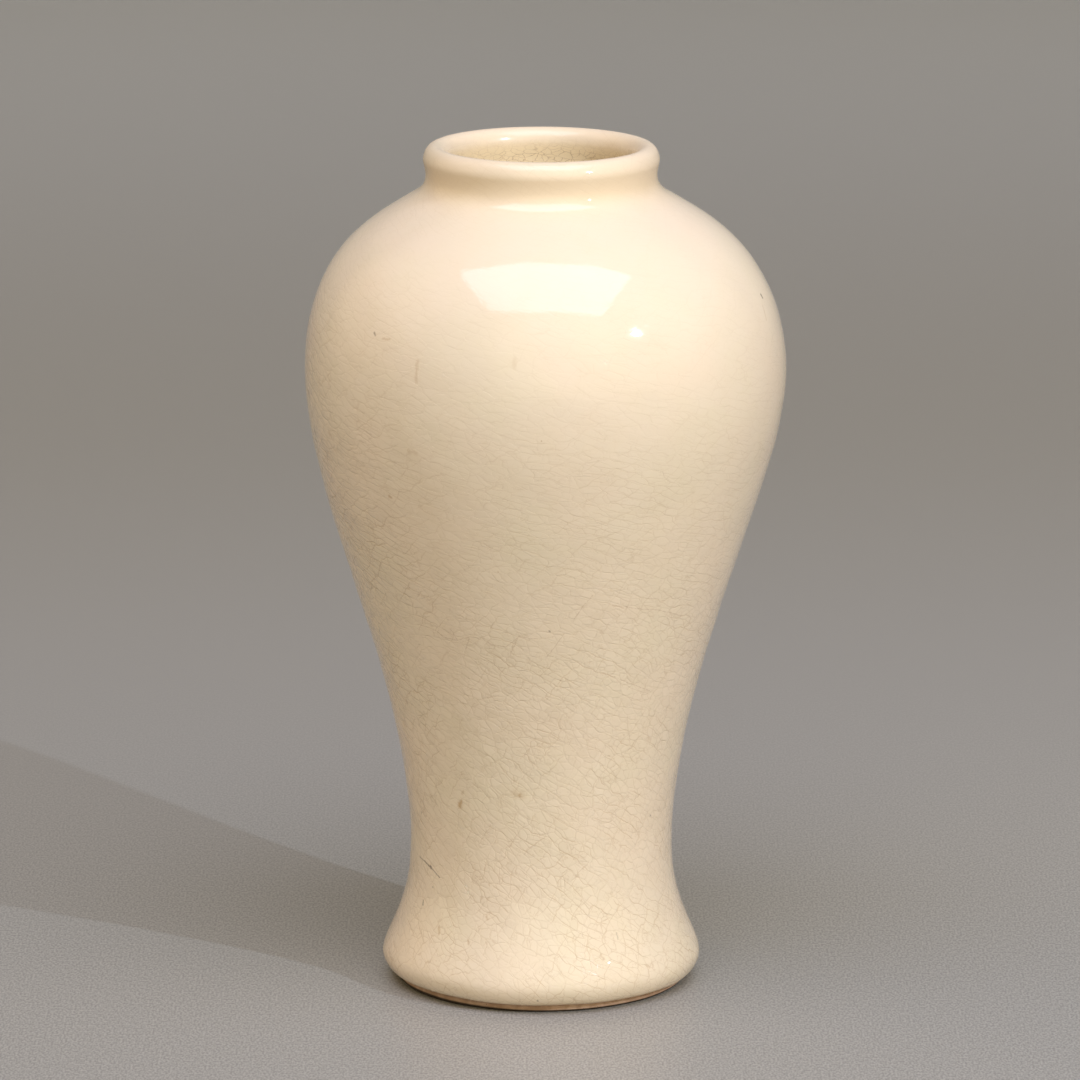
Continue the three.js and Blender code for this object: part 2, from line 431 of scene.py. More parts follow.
# %% Threads of long cracks
THREADS = 46
MOST_THREADS = 620.0
ROUGH_SIDE = 4.5
# How much stronger the cracks show on the left: painted shade where light grazes the relief
ROUGH_TONE = 2.5
ROUGH_BEARING = np.radians(-172)
ROUGH_NARROWING = 5
ROUGH_HEIGHT = 115 * MM
ROUGH_SPREAD = 38 * MM


def rough_side(height):
    """Share of the left side in each row and column, which gets rougher relief and painted shade in its
    cracks: a bell of height times a narrow cosine.
    """
    bell = np.exp(-((height - ROUGH_HEIGHT) / ROUGH_SPREAD) ** 2)
    return bell[:, None] * np.maximum(np.cos(angles - ROUGH_BEARING), 0) ** ROUGH_NARROWING


def lay_threads(node, piece, slant, share, relief):
    """Stores how far the threads have climbed at each row, their share of the crackle and its relief.

    Round a level circle there are t = THREADS / (2 pi r) threads to the metre. For a slant a, the
    count climbing the outline is t / tan(a) to the metre, held below MOST_THREADS. The two together
    give the count to the metre straight across the threads.
    """
    radius, height, step = run_of(node)
    round_count = THREADS / (2 * np.pi * np.maximum(radius, CALM_RADIUS))
    climb = np.minimum(round_count / np.tan(slant), MOST_THREADS)
    across = np.hypot(round_count, climb)
    rows = np.c_[np.cumsum(climb * step), across, share]
    grid = np.repeat(off_axis(node, rows)[:, None], COLUMNS, axis=1)
    mark_points(piece, "threads", "FLOAT_VECTOR", spread(node, grid, rows[[0, -1]]))
    grid = relief[:, None] * (1 + ROUGH_SIDE * rough_side(height))
    mark_points(piece, "relief", "FLOAT", spread(node, off_axis(node, grid), relief[[0, -1]]))
    print(piece.name, "has threads", round(1 / across.min() / MM, 1), "mm apart at most")


print(THREADS, "threads round the pot, and the left side up to", 1 + ROUGH_SIDE, "times as rough")

# %% [markdown]
# ## Building finishes
# A finish is a small circuit of shader nodes. Wired one by one, the nodes take many lines and hide
# the sum that they work out. So an output is wrapped as a wire, and wires are added, taken away,
# multiplied and divided as numbers are: each sign puts one Math node down.

# %% Wires
class Wire:
    """One output of a shader node, for sums with other wires and with numbers."""

    def __init__(self, socket):
        self.socket = socket
        self.tree = socket.id_data

    def __add__(self, other):
        return sum_of("ADD", self, other)

    def __sub__(self, other):
        return sum_of("SUBTRACT", self, other)

    def __rsub__(self, other):
        return sum_of("SUBTRACT", other, self)

    def __mul__(self, other):
        return sum_of("MULTIPLY", self, other)

    def __truediv__(self, other):
        return sum_of("DIVIDE", self, other)

    def __rtruediv__(self, other):
        return sum_of("DIVIDE", other, self)


class Wires:
    """All outputs of a node, by name or by number."""

    def __init__(self, outputs):
        self.outputs = outputs

    def __getitem__(self, key):
        return Wire(self.outputs[key])


def lead(value, socket):
    """Leads a wire to an input, or sets the input to a plain value."""
    if isinstance(value, Wire):
        value.tree.links.new(value.socket, socket)
    else:
        socket.default_value = value


def put(tree, kind, inputs, **settings):
    """Adds a node, with its settings and its inputs, and gives its outputs."""
    node = tree.nodes.new("ShaderNode" + kind)
    for name, value in settings.items():
        setattr(node, name, value)
    for key, value in inputs.items():
        lead(value, node.inputs[key])
    return Wires(node.outputs)


def sum_of(operation, *numbers):
    """One step of arithmetic on wires and numbers, at least one of them a wire."""
    tree = next(number.tree for number in numbers if isinstance(number, Wire))
    return put(tree, "Math", dict(enumerate(numbers)), operation=operation)[0]


bench = bpy.data.node_groups.new("bench", "ShaderNodeTree")
level = put(bench, "Value", {})[0]
tried = (1.0 - level) * level / 2 + 1
print("(1 - level) * level / 2 + 1 puts down", len(tried.tree.nodes) - 1, "Math nodes")
bpy.data.node_groups.remove(bench)

# %% [markdown]
# A few steps come up again and again: a smooth step, a mix of two colours, cloudy noise and sums of
# vectors. Each is a short function, and finds the circuit that it belongs to from its wires.

# %% Steps of a circuit
MIDDLE = (0.5, 0.5, 0.5)
# How many finer layers a noise has
PLAIN = 1.0
USUAL = 2.0
RICH = 3.0


def ease(value, start, end, low=0.0, high=1.0):
    """Smooth step from low to high as the value goes from start to end."""
    inputs = {"Value": value, "From Min": start, "From Max": end, "To Min": low, "To Max": high}
    return put(value.tree, "MapRange", inputs, interpolation_type="SMOOTHSTEP")[0]


def straight(value, start, end):
    """Straight step from 0 to 1 as the value goes from start to end."""
    return put(value.tree, "MapRange", {"Value": value, "From Min": start, "From Max": end})[0]


def tint(amount, first, second):
    """Mix of two colours by an amount."""
    return put(amount.tree, "Mix", {0: amount, 6: first, 7: second}, data_type="RGBA")[2]


def arrow(operation, first, second, key=1, result="Vector"):
    """One step of arithmetic on vectors."""
    return put(first.tree, "VectorMath", {0: first, key: second}, operation=operation)[result]


def split(vector):
    """The three numbers of a vector."""
    return put(vector.tree, "SeparateXYZ", {0: vector})


def noise(place, scale, detail=USUAL):
    """Cloudy noise: its number from 0 to 1, and its colour, which is three such numbers."""
    return put(place.tree, "TexNoise", {"Vector": place, "Scale": scale, "Detail": detail})


def cloud(place, scale, detail=USUAL):
    """Cloudy noise from 0 to 1."""
    return noise(place, scale, detail)[0]


def stray(place, scale, amount):
    """A place moved by cloudy noise, up to about half the amount each way."""
    push = arrow("SUBTRACT", noise(place, scale)[1], MIDDLE)
    return arrow("ADD", place, arrow("SCALE", push, amount, key="Scale"))


def colour(red, green, blue):
    """An sRGB colour, 0 to 255, as the linear colour that shaders work with."""
    level = np.array([red, green, blue]) / 255
    linear = np.where(level < 0.04045, level / 12.92, ((level + 0.055) / 1.055) ** 2.4)
    return (*linear.tolist(), 1.0)


print("a middle grey is", round(colour(128, 128, 128)[0], 3), "in linear light")

# %% [markdown]
# Effects that more than one finish uses are node groups with inputs and outputs of their own. Here a
# group is written as a function of wires: the line over it turns its arguments into the group's
# inputs and builds the group once. From then on, calling it places the group in a circuit. A group
# only works out masks and heights: the shader itself stays in the finish.

# %% Groups
PLACES = "place", "start", "end"


def title(name):
    """Name of a socket: half_width is "Half width"."""
    return name.replace("_", " ").capitalize()


def node_group(*results):
    """Turns a function of wires into a node group with named results.

    The function's arguments become the inputs: place, start and end are vectors, and the others
    are numbers. The wires that it gives back lead to the results, in that order.
    """
    def build(circuit):
        tree = bpy.data.node_groups.new(title(circuit.__name__), "ShaderNodeTree")
        names = list(inspect.signature(circuit).parameters)
        for name in names:
            kind = "NodeSocketVector" if name in PLACES else "NodeSocketFloat"
            tree.interface.new_socket(title(name), in_out="INPUT", socket_type=kind)
        for result in results:
            tree.interface.new_socket(result, in_out="OUTPUT", socket_type="NodeSocketFloat")
        inside = Wires(tree.nodes.new("NodeGroupInput").outputs)
        outside = tree.nodes.new("NodeGroupOutput").inputs
        for wire, result in zip(circuit(*[inside[title(name)] for name in names]), results):
            lead(wire, outside[result])
        print("group", tree.name, "with", len(tree.nodes), "nodes")

        def placed(place, **values):
            inputs = {title(name): value for name, value in values.items()}
            return put(place.tree, "Group", {"Place": place, **inputs}, node_tree=tree)

        return placed
    return build


print("an argument half_width is the input", title("half_width"))

# %% [markdown]
# A finish starts from Blender's own surface shader. It reads where a point lies on the piece, and
# what the point carries. Relief too fine for the mesh only turns the light, through a Bump node.


# %% Finishes
def new_finish(name):
    """A new material, the inputs of its surface shader, and the place of each point on the piece."""
    finish = bpy.data.materials.new(name)
    finish.use_nodes = True
    place = put(finish.node_tree, "TexCoord", {})["Object"]
    return finish, finish.node_tree.nodes["Principled BSDF"].inputs, place


def carried(place, name, result="Vector"):
    """What the points of the piece carry under a name."""
    return put(place.tree, "Attribute", {}, attribute_name=name)[result]


def give_relief(surface, height):
    """Turns the light on a surface as a height in metres would."""
    bump = put(height.tree, "Bump", {"Strength": 1.0, "Distance": 1.0, "Height": height})
    lead(bump[0], surface["Normal"])


print("the CAD model brought", len(bpy.data.materials), "plain materials")

# %% [markdown]
# ### Cells, threads and creases
# A cell's edge is a hairline, and its face stands a little askew to its neighbours', which is what
# light from the side picks out. Both come from a texture of random cells: one reading gives the
# distance to the nearest edge, another the cell's own point and random colour, which sets its tilt.
# A thread lies where the count of threads is whole, moved by noise so that it wanders. Between them
# lie creases too fine to follow, which are the level lines of a noise. All three kinds fade out and
# start again, as real cracks do.

# %% Cell group
WANDER_SCALE = 0.7
GAP_SCALE = 0.45
GAP_FADE = 0.58, 0.44
DIP_EDGE = 0.13


@node_group("Line", "Dip", "Tilt")
def crackle_cells(place, half_width, wander, broken):
    """Hairlines round the cells, a dip towards them from 0 to 1, and the height of the tilted faces."""
    gap = ease(cloud(place, GAP_SCALE, PLAIN), *GAP_FADE) * broken
    place = stray(place, WANDER_SCALE, wander)
    inputs = {"Vector": place, "Scale": 1.0}
    away = put(place.tree, "TexVoronoi", inputs, feature="DISTANCE_TO_EDGE")["Distance"]
    cell = put(place.tree, "TexVoronoi", inputs)
    slope = arrow("SUBTRACT", cell["Color"], MIDDLE)
    out = arrow("SUBTRACT", place, cell["Position"])
    tilt = arrow("DOT_PRODUCT", out, slope, result="Value")
    return ease(away, half_width, 0.0) * (1.0 - gap), ease(away, DIP_EDGE, 0.0), tilt


# %% Thread group
# Each wave of a thread: its scale to the metre, its strength in threads, its part of space
THREAD_WAVES = ((50.0, 3.0, 0.0), (160.0, 1.3, 5.0), (420.0, 0.5, 8.0))
RUN_PART = 9.0
RUN_FADE = -0.12, 0.04
THREAD_DIP = 2.2


def shifted_noise(place, scale, amount, part):
    """Noise round zero, of a given strength, from its own part of space."""
    return (cloud(arrow("ADD", place, (part, 2 * part, 3 * part)), scale) - 0.5) * amount


@node_group("Line", "Dip")
def crackle_threads(place, climb, density, half_width, run, seed):
    """Mask of the long cracks, from the count of threads, and the dip towards them.

    A crack lies where turns times THREADS plus the climb is whole. It keeps going for about the run,
    and the seed moves the noise, so that a second set of threads wanders in its own way.
    """
    x, y, _ = split(place)
    count = sum_of("ARCTAN2", y, x) / (2 * np.pi) * THREADS + climb
    place = arrow("ADD", place, seed)
    for wave in THREAD_WAVES:
        count = count + shifted_noise(place, *wave)
    away = sum_of("PINGPONG", count, 0.5) / density
    shown = ease(shifted_noise(place, 1.0 / run, 1.0, RUN_PART), *RUN_FADE)
    return ease(away, half_width, 0.0) * shown, ease(away, half_width * THREAD_DIP, 0.0) * shown


# %% Crease group
CREASE_BREAK = 0.6
CREASE_PART = 4.0
CREASE_FADE = -0.04, 0.08


@node_group("Crease")
def fine_creases(place, size, half_width):
    """Fine wrinkles: 1 along the lines where cloudy noise passes its middle value, in broken lengths."""
    away = sum_of("ABSOLUTE", cloud(place, 1.0 / size) - 0.5)
    broad = shifted_noise(place, CREASE_BREAK / size, 1.0, CREASE_PART)
    return [ease(away, half_width, 0.0) * ease(broad, *CREASE_FADE)]


# %% [markdown]
# ### Patches, specks and marks
# Patches are slow changes of tone. Specks are grains that show through in a few cells of a coarse
# net. A mark is a single dot or scratch: the distance to a short straight line, with a ragged edge.

# %% Patch and speck groups
PATCH_FADE = 0.32, 0.68
SPECK_CORE = 0.4


@node_group("Patch")
def patches(place, size):
    """Slow change of tone over the surface, 0 to 1, with a soft contrast."""
    return [ease(cloud(place, 1.0 / size, RICH), *PATCH_FADE)]


@node_group("Speck")
def specks(place, spacing, size, share):
    """Mask of scattered round specks.

    Space is cut into cells of about the spacing. A share of them, picked by the cell's random
    colour, holds a speck with the size as its radius, at the cell's own point.
    """
    cell = put(place.tree, "TexVoronoi", {"Vector": place, "Scale": 1.0 / spacing})
    spot = straight(cell["Distance"] * spacing, size, size * SPECK_CORE)
    pick = put(place.tree, "SeparateColor", {0: cell["Color"]})[0]
    return [spot * sum_of("LESS_THAN", pick, share)]


# %% Mark group
FRAY_SIZE = 0.7 * MM
MARK_CORE = 0.15


@node_group("Mark")
def mark(place, start, end, half_width, fray):
    """Mask of one mark: 1 along the line between two points, fading out at the half width from it.

    The nearest point of the line is its start plus the share (p - a).(b - a) / |b - a|^2, held
    between 0 and 1, of the way to its end. Fine noise moves p first, which frays the edge.
    """
    along = arrow("SUBTRACT", end, start)
    out = arrow("SUBTRACT", stray(place, 1 / FRAY_SIZE, fray), start)
    reach = arrow("DOT_PRODUCT", out, along, result="Value")
    length = arrow("DOT_PRODUCT", along, along, result="Value")
    share = put(place.tree, "Clamp", {0: reach / length})[0]
    away = arrow("DISTANCE", out, arrow("SCALE", along, share, key="Scale"), result="Value")
    return [straight(away, half_width, half_width * MARK_CORE)]


# %% [markdown]
# ## Marks of age on the glaze
# The front of this vase has a handful of marks that give it its own face: a pinhole high on the
# right, two dark dots and a tan run on the left shoulder, two brown blotches and a scratch on the
# stem. Along the joint in the belly a few cracks took up dirt and turned brown. Each is placed by
# its bearing, counted from the front towards the right, and its height. The outline then gives the
# point on the glaze.

# %% Places on the skin
FRONT = -np.pi / 2
skin_rows = outlines["outer_glaze"]
crest_row = int(np.argmax(skin_rows[:, 1]))


def on_skin(bearing, height):
    """Point on the outer glaze at a bearing in degrees from the front and a height in mm."""
    radius = np.interp(height * MM, skin_rows[:crest_row, 1], skin_rows[:crest_row, 0])
    return [float(v) for v in thrown(radius, height * MM, FRONT + np.radians(bearing))]


print("the crest of the lip is at", round(skin_rows[crest_row, 1] / MM, 1), "mm")

# %% Single marks
# Each mark: start (bearing, height), end (bearing, height), half width in mm, strength
DARK_MARKS = [
    ((73.7, 137.9), (73.9, 137.4), 0.4, 0.8),
    ((-46.0, 134.2), (-45.6, 133.9), 0.36, 0.5),
    ((-78.5, 118.6), (-77.5, 117.0), 0.4, 0.5),
    ((-67.9, 26.2), (-62.5, 25.8), 0.2, 0.5),
    ((-62.5, 25.8), (-57.5, 25.2), 0.22, 0.75),
    ((-57.5, 25.2), (-56.7, 25.1), 0.4, 0.9),
    ((-57.1, 25.2), (-50.4, 23.8), 0.22, 0.5),
    ((-60.4, 18.2), (-60.0, 17.4), 0.26, 0.55),
    ((2.3, 77.6), (2.6, 77.5), 0.24, 0.55),
    ((-72.8, 72.0), (-72.4, 71.8), 0.3, 0.5),
    ((-64.1, 35.6), (-63.6, 35.4), 0.24, 0.4),
    ((54.0, 36.0), (54.5, 35.9), 0.26, 0.45),
    ((-54.9, 21.5), (-54.7, 21.4), 0.22, 0.4),
    ((32.1, 14.6), (32.2, 13.4), 0.2, 0.3),
    ((-1.4, 3.1), (-1.2, 3.0), 0.3, 0.5),
]
TAN_MARKS = [
    ((-42.8, 133.5), (-40.6, 133.6), 0.34, 0.3),
    ((-31.7, 130.4), (-31.7, 126.6), 0.5, 0.22),
    ((-31.7, 128.0), (-31.6, 126.4), 0.42, 0.24),
    ((-42.3, 103.0), (-41.6, 102.8), 0.42, 0.5),
    ((-7.2, 132.0), (-7.2, 130.6), 0.6, 0.14),
    ((-34.0, 112.9), (-32.0, 112.7), 0.7, 0.18),
    ((-64.5, 112.6), (-63.5, 112.2), 0.6, 0.25),
    ((71.4, 136.2), (70.4, 133.6), 0.3, 0.25),
    ((-36.8, 39.4), (-35.8, 40.3), 0.7, 0.6),
    ((-34.8, 42.0), (-34.2, 42.6), 0.4, 0.3),
    ((-9.2, 42.9), (-8.6, 43.1), 0.6, 0.5),
    ((-11.0, 43.3), (-8.0, 42.8), 1.2, 0.22),
    ((-46.4, 14.6), (-45.2, 13.4), 0.45, 0.4),
    ((-30.6, 13.4), (-30.0, 12.6), 0.3, 0.35),
    ((-23.6, 18.2), (-23.0, 17.6), 0.35, 0.3),
]
print(len(DARK_MARKS), "dark marks and", len(TAN_MARKS), "tan ones")

# %% Stained cracks
# Each stained crack is a path of (bearing, height) points
STAINED_CRACKS = [
    [(-34.3, 75.7), (-31.1, 74.8), (-27.3, 74.7), (-22.9, 75.7), (-18.6, 75.5), (-15.8, 74.3), (-11.1, 74.1),
     (-7.0, 76.3), (-1.0, 76.0), (3.7, 76.4)],
    [(-22.9, 75.7), (-24.6, 73.2)],
    [(-27.3, 74.7), (-29.4, 77.0)],
    [(-7.0, 76.3), (-10.0, 72.6)],
    [(1.7, 72.2), (4.0, 74.0), (7.0, 77.1)],
    [(9.5, 79.7), (12.0, 82.6), (14.8, 84.9)],
    [(21.0, 82.4), (26.0, 81.7), (31.0, 80.9), (36.0, 80.4), (42.0, 79.2), (48.0, 77.8)],
    [(17.8, 68.7), (25.0, 67.2), (33.0, 65.0), (41.2, 63.0)],
]
CRACK_HALF_WIDTH = 0.13
CRACK_STRENGTH = 0.32
CRACK_FRAY = 4.5
MARK_FRAY = 1.6
crack_marks = [
    (start, end, CRACK_HALF_WIDTH, CRACK_STRENGTH)
    for path in STAINED_CRACKS for start, end in zip(path, path[1:])]


def marks_mask(place, marks, fray):
    """The strongest of a list of marks at each point, each frayed by a share of its half width."""
    total = 0.0
    for start, end, half_width, strength in marks:
        ends = {"start": on_skin(*start), "end": on_skin(*end)}
        one = mark(place, half_width=half_width * MM, fray=fray * half_width * MM, **ends)[0]
        total = sum_of("MAXIMUM", total, one * strength)
    return total


print(len(crack_marks), "lengths of stained crack")

# %% [markdown]
# ## The outer glaze
# Cream glaze, glossy, with the faint orange-peel dimples of a thick coat. Its cracks are only a
# little darker than the glaze. What shows them is relief: each line sinks in, and each cell's face
# stands a little askew to the next, so that light from the side picks them out. In the mouth the
# cracks are stained, and there they are wider, wander more and break off less.

# %% Cracks of the outer glaze
CELL_LINE = 0.042
CELL_TILT = 0.075 * MM
STAINED_WIDER = 0.7
STAINED_FULL = 0.5
WANDERS = 0.6, 1.1
BREAKS = 0.7, 0.35
LINE_HALF_WIDTH = 0.09 * MM
LONG_RUN = 6.7 * MM
SHORT_RUN = 3.6 * MM
CROSS_CLIMB = 0.46
CROSS_TONE = 0.65
CROSS_SEED = 0.5
FAINTER_CELLS = 0.4
DIP_DEPTH = 0.016 * MM
CREASE_SIZE = 1.3 * MM
CREASE_EDGE = 0.032
CREASE_TONE = 0.4
CREASE_DEPTH = 0.0095 * MM


def glaze_cracks(place, stained):
    """Mask of all cracks, and the height of the cell faces with their dips and creases."""
    climb, density, share = split(carried(place, "threads"))
    net = crackle_cells(
        carried(place, "crackle_place"),
        half_width=(stained * STAINED_WIDER + 1.0) * CELL_LINE,
        wander=ease(stained, 0.0, STAINED_FULL, *WANDERS),
        broken=ease(stained, 0.0, STAINED_FULL, *BREAKS))
    alike = {"density": density, "half_width": LINE_HALF_WIDTH}
    long = crackle_threads(place, climb=climb, run=LONG_RUN, **alike)
    cross = crackle_threads(
        place, climb=climb * -CROSS_CLIMB, run=SHORT_RUN, seed=CROSS_SEED, **alike)
    crease = fine_creases(place, size=CREASE_SIZE, half_width=CREASE_EDGE)[0]
    threads = sum_of("MAXIMUM", long["Line"], cross["Line"] * CROSS_TONE) * share
    lines = sum_of("MAXIMUM", threads, net["Line"] * (1.0 - share * FAINTER_CELLS))
    lines = sum_of("MAXIMUM", lines, crease * CREASE_TONE)
    dips = net["Dip"] + (long["Dip"] + cross["Dip"]) * share
    return lines, net["Tilt"] * CELL_TILT - dips * DIP_DEPTH - crease * CREASE_DEPTH


print("threads wander for about", round(LONG_RUN / MM, 1), "and", round(SHORT_RUN / MM, 1), "mm")

# %% [markdown]
# The tone drifts between a pinkish and a greenish cream. In the neck and the mouth the glaze is
# thin, and the clay under it turns it tan. In the neck groove under the lip the tan is also painted
# warm shade, and in the mouth it is paler than the glaze outside, as painted light falling in.
# Cracks, marks and specks are painted over it in turn.

# %% Tones of the outer glaze
CREAM = colour(239, 222, 200)
PINK_CREAM = colour(240, 221, 197)
GREEN_CREAM = colour(237, 221, 195)
# Tan of the thin glaze in the neck, darker in the groove under the lip as painted warm shade
NECK_TAN = colour(237, 214, 180)
# Tan of the stained glaze in the mouth, made paler than the cream outside as painted light
MOUTH_TAN = colour(254, 231, 190)
CRACK_TINT = colour(199, 169, 133)
STAIN_TINT = colour(158, 114, 70)
DARK_MARK = colour(64, 46, 30)
TAN_MARK = colour(178, 136, 76)
MOUTH_STAIN = 0.7
DRIFT_SIZE = 22 * MM
FINE_DRIFT_SIZE = 5 * MM
FINE_DRIFT = 0.4
CALM_SIZE = 16 * MM
CALM_SHARE = 0.7
CALM_LINES = 0.45
GRAINS = {"spacing": 9 * MM, "size": 0.2 * MM, "share": 0.12}
GRAIN_TONE = 0.5


def glaze_tone(place, lines, shown, tan, stained):
    """Cream that drifts, tan with painted warm shade in the neck groove and tan made pale with painted light
    in the mouth, with the cracks, the marks and a few specks over it.
    """
    base = tint(patches(place, size=DRIFT_SIZE)[0], PINK_CREAM, GREEN_CREAM)
    base = tint(patches(place, size=FINE_DRIFT_SIZE)[0] * FINE_DRIFT, base, CREAM)
    # Partly painted shade: tan in the neck groove under the lip.
    base = tint(tan, base, NECK_TAN)
    # Partly painted light: the mouth's tan is paler than the glaze outside.
    base = tint(ease(stained, 0.0, MOUTH_STAIN), base, MOUTH_TAN)
    shown = shown * ease(patches(place, size=CALM_SIZE)[0], 0.0, CALM_SHARE, CALM_LINES, 1.0)
    base = tint(lines * shown, base, tint(stained, CRACK_TINT, STAIN_TINT))
    base = tint(marks_mask(place, crack_marks, CRACK_FRAY), base, STAIN_TINT)
    base = tint(marks_mask(place, TAN_MARKS, MARK_FRAY), base, TAN_MARK)
    base = tint(marks_mask(place, DARK_MARKS, MARK_FRAY), base, DARK_MARK)
    return tint(specks(place, **GRAINS)[0] * GRAIN_TONE, base, TAN_MARK)


print("cream in linear light:", [round(level, 2) for level in CREAM[:3]])

# %% [markdown]
# The gloss is that of a mirror with a faint haze. The crest of the lip is worn, and the thin glaze in
# the mouth and at the foot's edge is duller.

# %% Outer glaze
GLOSS = 0.05
GLOSS_DRIFT = 0.02
GLOSS_SIZE = 9 * MM
SHEEN = 0.45
CREST_WEAR = 162.8 * MM, 164.4 * MM
CREST_DULL = 0.2
STAIN_DULL = 0.22
STAIN_DULL_FULL = 0.15
MICRO = 0.004 * MM
MICRO_SIZE = 0.4 * MM
DIMPLE = 0.014 * MM
DIMPLE_SIZE = 3.0 * MM


def outer_glaze_finish():
    """Cream crackle glaze with tone patches, marks, stained seam, painted shade in the neck groove and on
    the left of the cracks, and a tan mouth made pale with painted light.
    """
    finish, surface, place = new_finish("crackle glaze")
    shown, tan, stained = split(carried(place, "wear"))
    lines, faces = glaze_cracks(place, stained)
    lead(glaze_tone(place, lines, shown, tan, stained), surface["Base Color"])
    faces = faces + cloud(place, 1 / MICRO_SIZE) * MICRO
    dimples = cloud(place, 1 / DIMPLE_SIZE, PLAIN) * DIMPLE
    give_relief(surface, dimples + faces * carried(place, "relief", "Fac"))
    worn = ease(split(place)["Z"], *CREST_WEAR, 0.0, CREST_DULL)
    worn = worn + ease(stained, 0.0, STAIN_DULL_FULL, 0.0, STAIN_DULL)
    haze = ease(patches(place, size=GLOSS_SIZE)[0], 0.0, 1.0, GLOSS - GLOSS_DRIFT, GLOSS + GLOSS_DRIFT)
    lead(haze + worn, surface["Roughness"])
    surface["Specular IOR Level"].default_value = SHEEN
    return finish


outer_glaze = outer_glaze_finish()
print("finish", outer_glaze.name, "with", len(outer_glaze.node_tree.nodes), "nodes")

# %% [markdown]
# ## The inner glaze
# The inside got a thinner pour of the same glaze. Water and dust have stained its cracks brown, so
# the net is dense and dark on tan. It needs no marks of its own.

# %% Inner glaze
INNER_TAN = colour(222, 194, 148)
INNER_PALE = colour(232, 208, 166)
INNER_NET = {"half_width": 0.06, "wander": 0.5, "broken": 0.3}
INNER_DRIFT_SIZE = 12 * MM
INNER_HAZE = 0.24, 0.36


def inner_glaze_finish():
    """Tan glaze with a dense brown net of cracks."""
    finish, surface, place = new_finish("inner crackle glaze")
    lines = crackle_cells(carried(place, "crackle_place"), **INNER_NET)["Line"]
    drift = patches(place, size=INNER_DRIFT_SIZE)[0]
    lead(tint(lines, tint(drift, INNER_TAN, INNER_PALE), STAIN_TINT), surface["Base Color"])
    give_relief(surface, lines * -DIP_DEPTH)
    lead(ease(drift, 0.0, 1.0, *INNER_HAZE), surface["Roughness"])
    return finish


inner_glaze = inner_glaze_finish()
print("finish", inner_glaze.name, "with", len(inner_glaze.node_tree.nodes), "nodes")

# %% [markdown]
# ## Bare clay and slip
# Clay shows only on the foot ring, where the glaze was wiped off before firing: pinkish tan, dull,
# with sandy grains and the fine rings of the trimming tool. At the outer edge that it stands on it
# is painted dark, as painted shade for the contact shadow. The slip in the joints is the same clay
# washed fine, paler and smoother. Both are hidden under the glaze elsewhere, and are finished alike.

# %% Painted shade at the foot
# Painted shade: colour, strength, heights and spread of the dark contact shadow painted on the foot's edge
GRIME = colour(40, 29, 22)
GRIME_TONE = 0.95
GRIME_HEIGHTS = 0.3 * MM, 0.6 * MM
GRIME_TILT = 0.014
GRIME_RADII = 26.6 * MM, 27.5 * MM
FLAT = (1.0, 1.0, 0.0)


def foot_grime(place):
    """Share of painted contact shade: full at the foot's lower outer edge, and a little higher on the left,
    where the vase's shadow falls.
    """
    side, _, level = split(place)
    out = arrow("MULTIPLY", place, FLAT)
    radius = put(place.tree, "VectorMath", {0: out}, operation="LENGTH")["Value"]
    clear = sum_of("MINIMUM", side, 0.0) * GRIME_TILT + level
    return ease(clear, *GRIME_HEIGHTS, GRIME_TONE, 0.0) * ease(radius, *GRIME_RADII)


# The height printed here is that of the painted contact shade.
print("grime up to", round(GRIME_HEIGHTS[1] / MM, 1), "mm over the table")

# %% Clay and slip
CLAY_DARK = colour(150, 117, 93)
CLAY_MID = colour(187, 153, 126)
CLAY_PALE = colour(200, 170, 146)
GRAIN_DARK = colour(70, 48, 34)
SLIP_MID = colour(196, 168, 134)
SLIP_PALE = colour(212, 188, 158)
EARTH_DRIFT_SIZE = 11 * MM
EARTH_FLECK_SIZE = 1.4 * MM
EARTH_FLECK = 0.55
EARTH_DULL = 0.72, 0.92
SAND = {"spacing": 0.9 * MM, "size": 0.16 * MM}
SAND_TONE = 0.7
SAND_IN_CLAY = 0.3
SAND_IN_SLIP = 0.06
TOOL_RINGS = 2600.0
RING_DEPTH = 0.012 * MM
GRIT = 0.02 * MM
SLIP_GRIT = GRIT / 3
GRIT_SIZE = 0.35 * MM


def earth_finish(name, dark, mid, pale, sand_share, ring_depth, grit):
    """Dull fired earth: three tones, sandy grains, tool rings, and painted contact shade round the foot's
    lower edge.
    """
    finish, surface, place = new_finish(name)
    fleck = patches(place, size=EARTH_FLECK_SIZE)[0]
    sand = specks(place, share=sand_share, **SAND)[0]
    base = tint(patches(place, size=EARTH_DRIFT_SIZE)[0], mid, pale)
    base = tint(fleck * EARTH_FLECK, base, dark)
    base = tint(sand * SAND_TONE, base, GRAIN_DARK)
    # Painted shade: the foot's lower outer edge is darkened as a contact shadow.
    lead(tint(foot_grime(place), base, GRIME), surface["Base Color"])
    rings = sum_of("SINE", split(place)["Z"] * (2 * np.pi * TOOL_RINGS))
    give_relief(surface, rings * ring_depth + cloud(place, 1 / GRIT_SIZE, RICH) * grit + sand * grit)
    lead(ease(fleck, 0.0, 1.0, *EARTH_DULL), surface["Roughness"])
    return finish


fired_clay = earth_finish("fired clay", CLAY_DARK, CLAY_MID, CLAY_PALE, SAND_IN_CLAY, RING_DEPTH, GRIT)
luting_slip = earth_finish("luting slip", SLIP_MID, SLIP_MID, SLIP_PALE, SAND_IN_SLIP, 0.0, SLIP_GRIT)
print("finishes", fired_clay.name, "and", luting_slip.name)

# %% [markdown]
# ## The clay body
# Three thrown sections and the two rings of slip between them. They are the pot's strength, though
# only the foot ring can be seen.

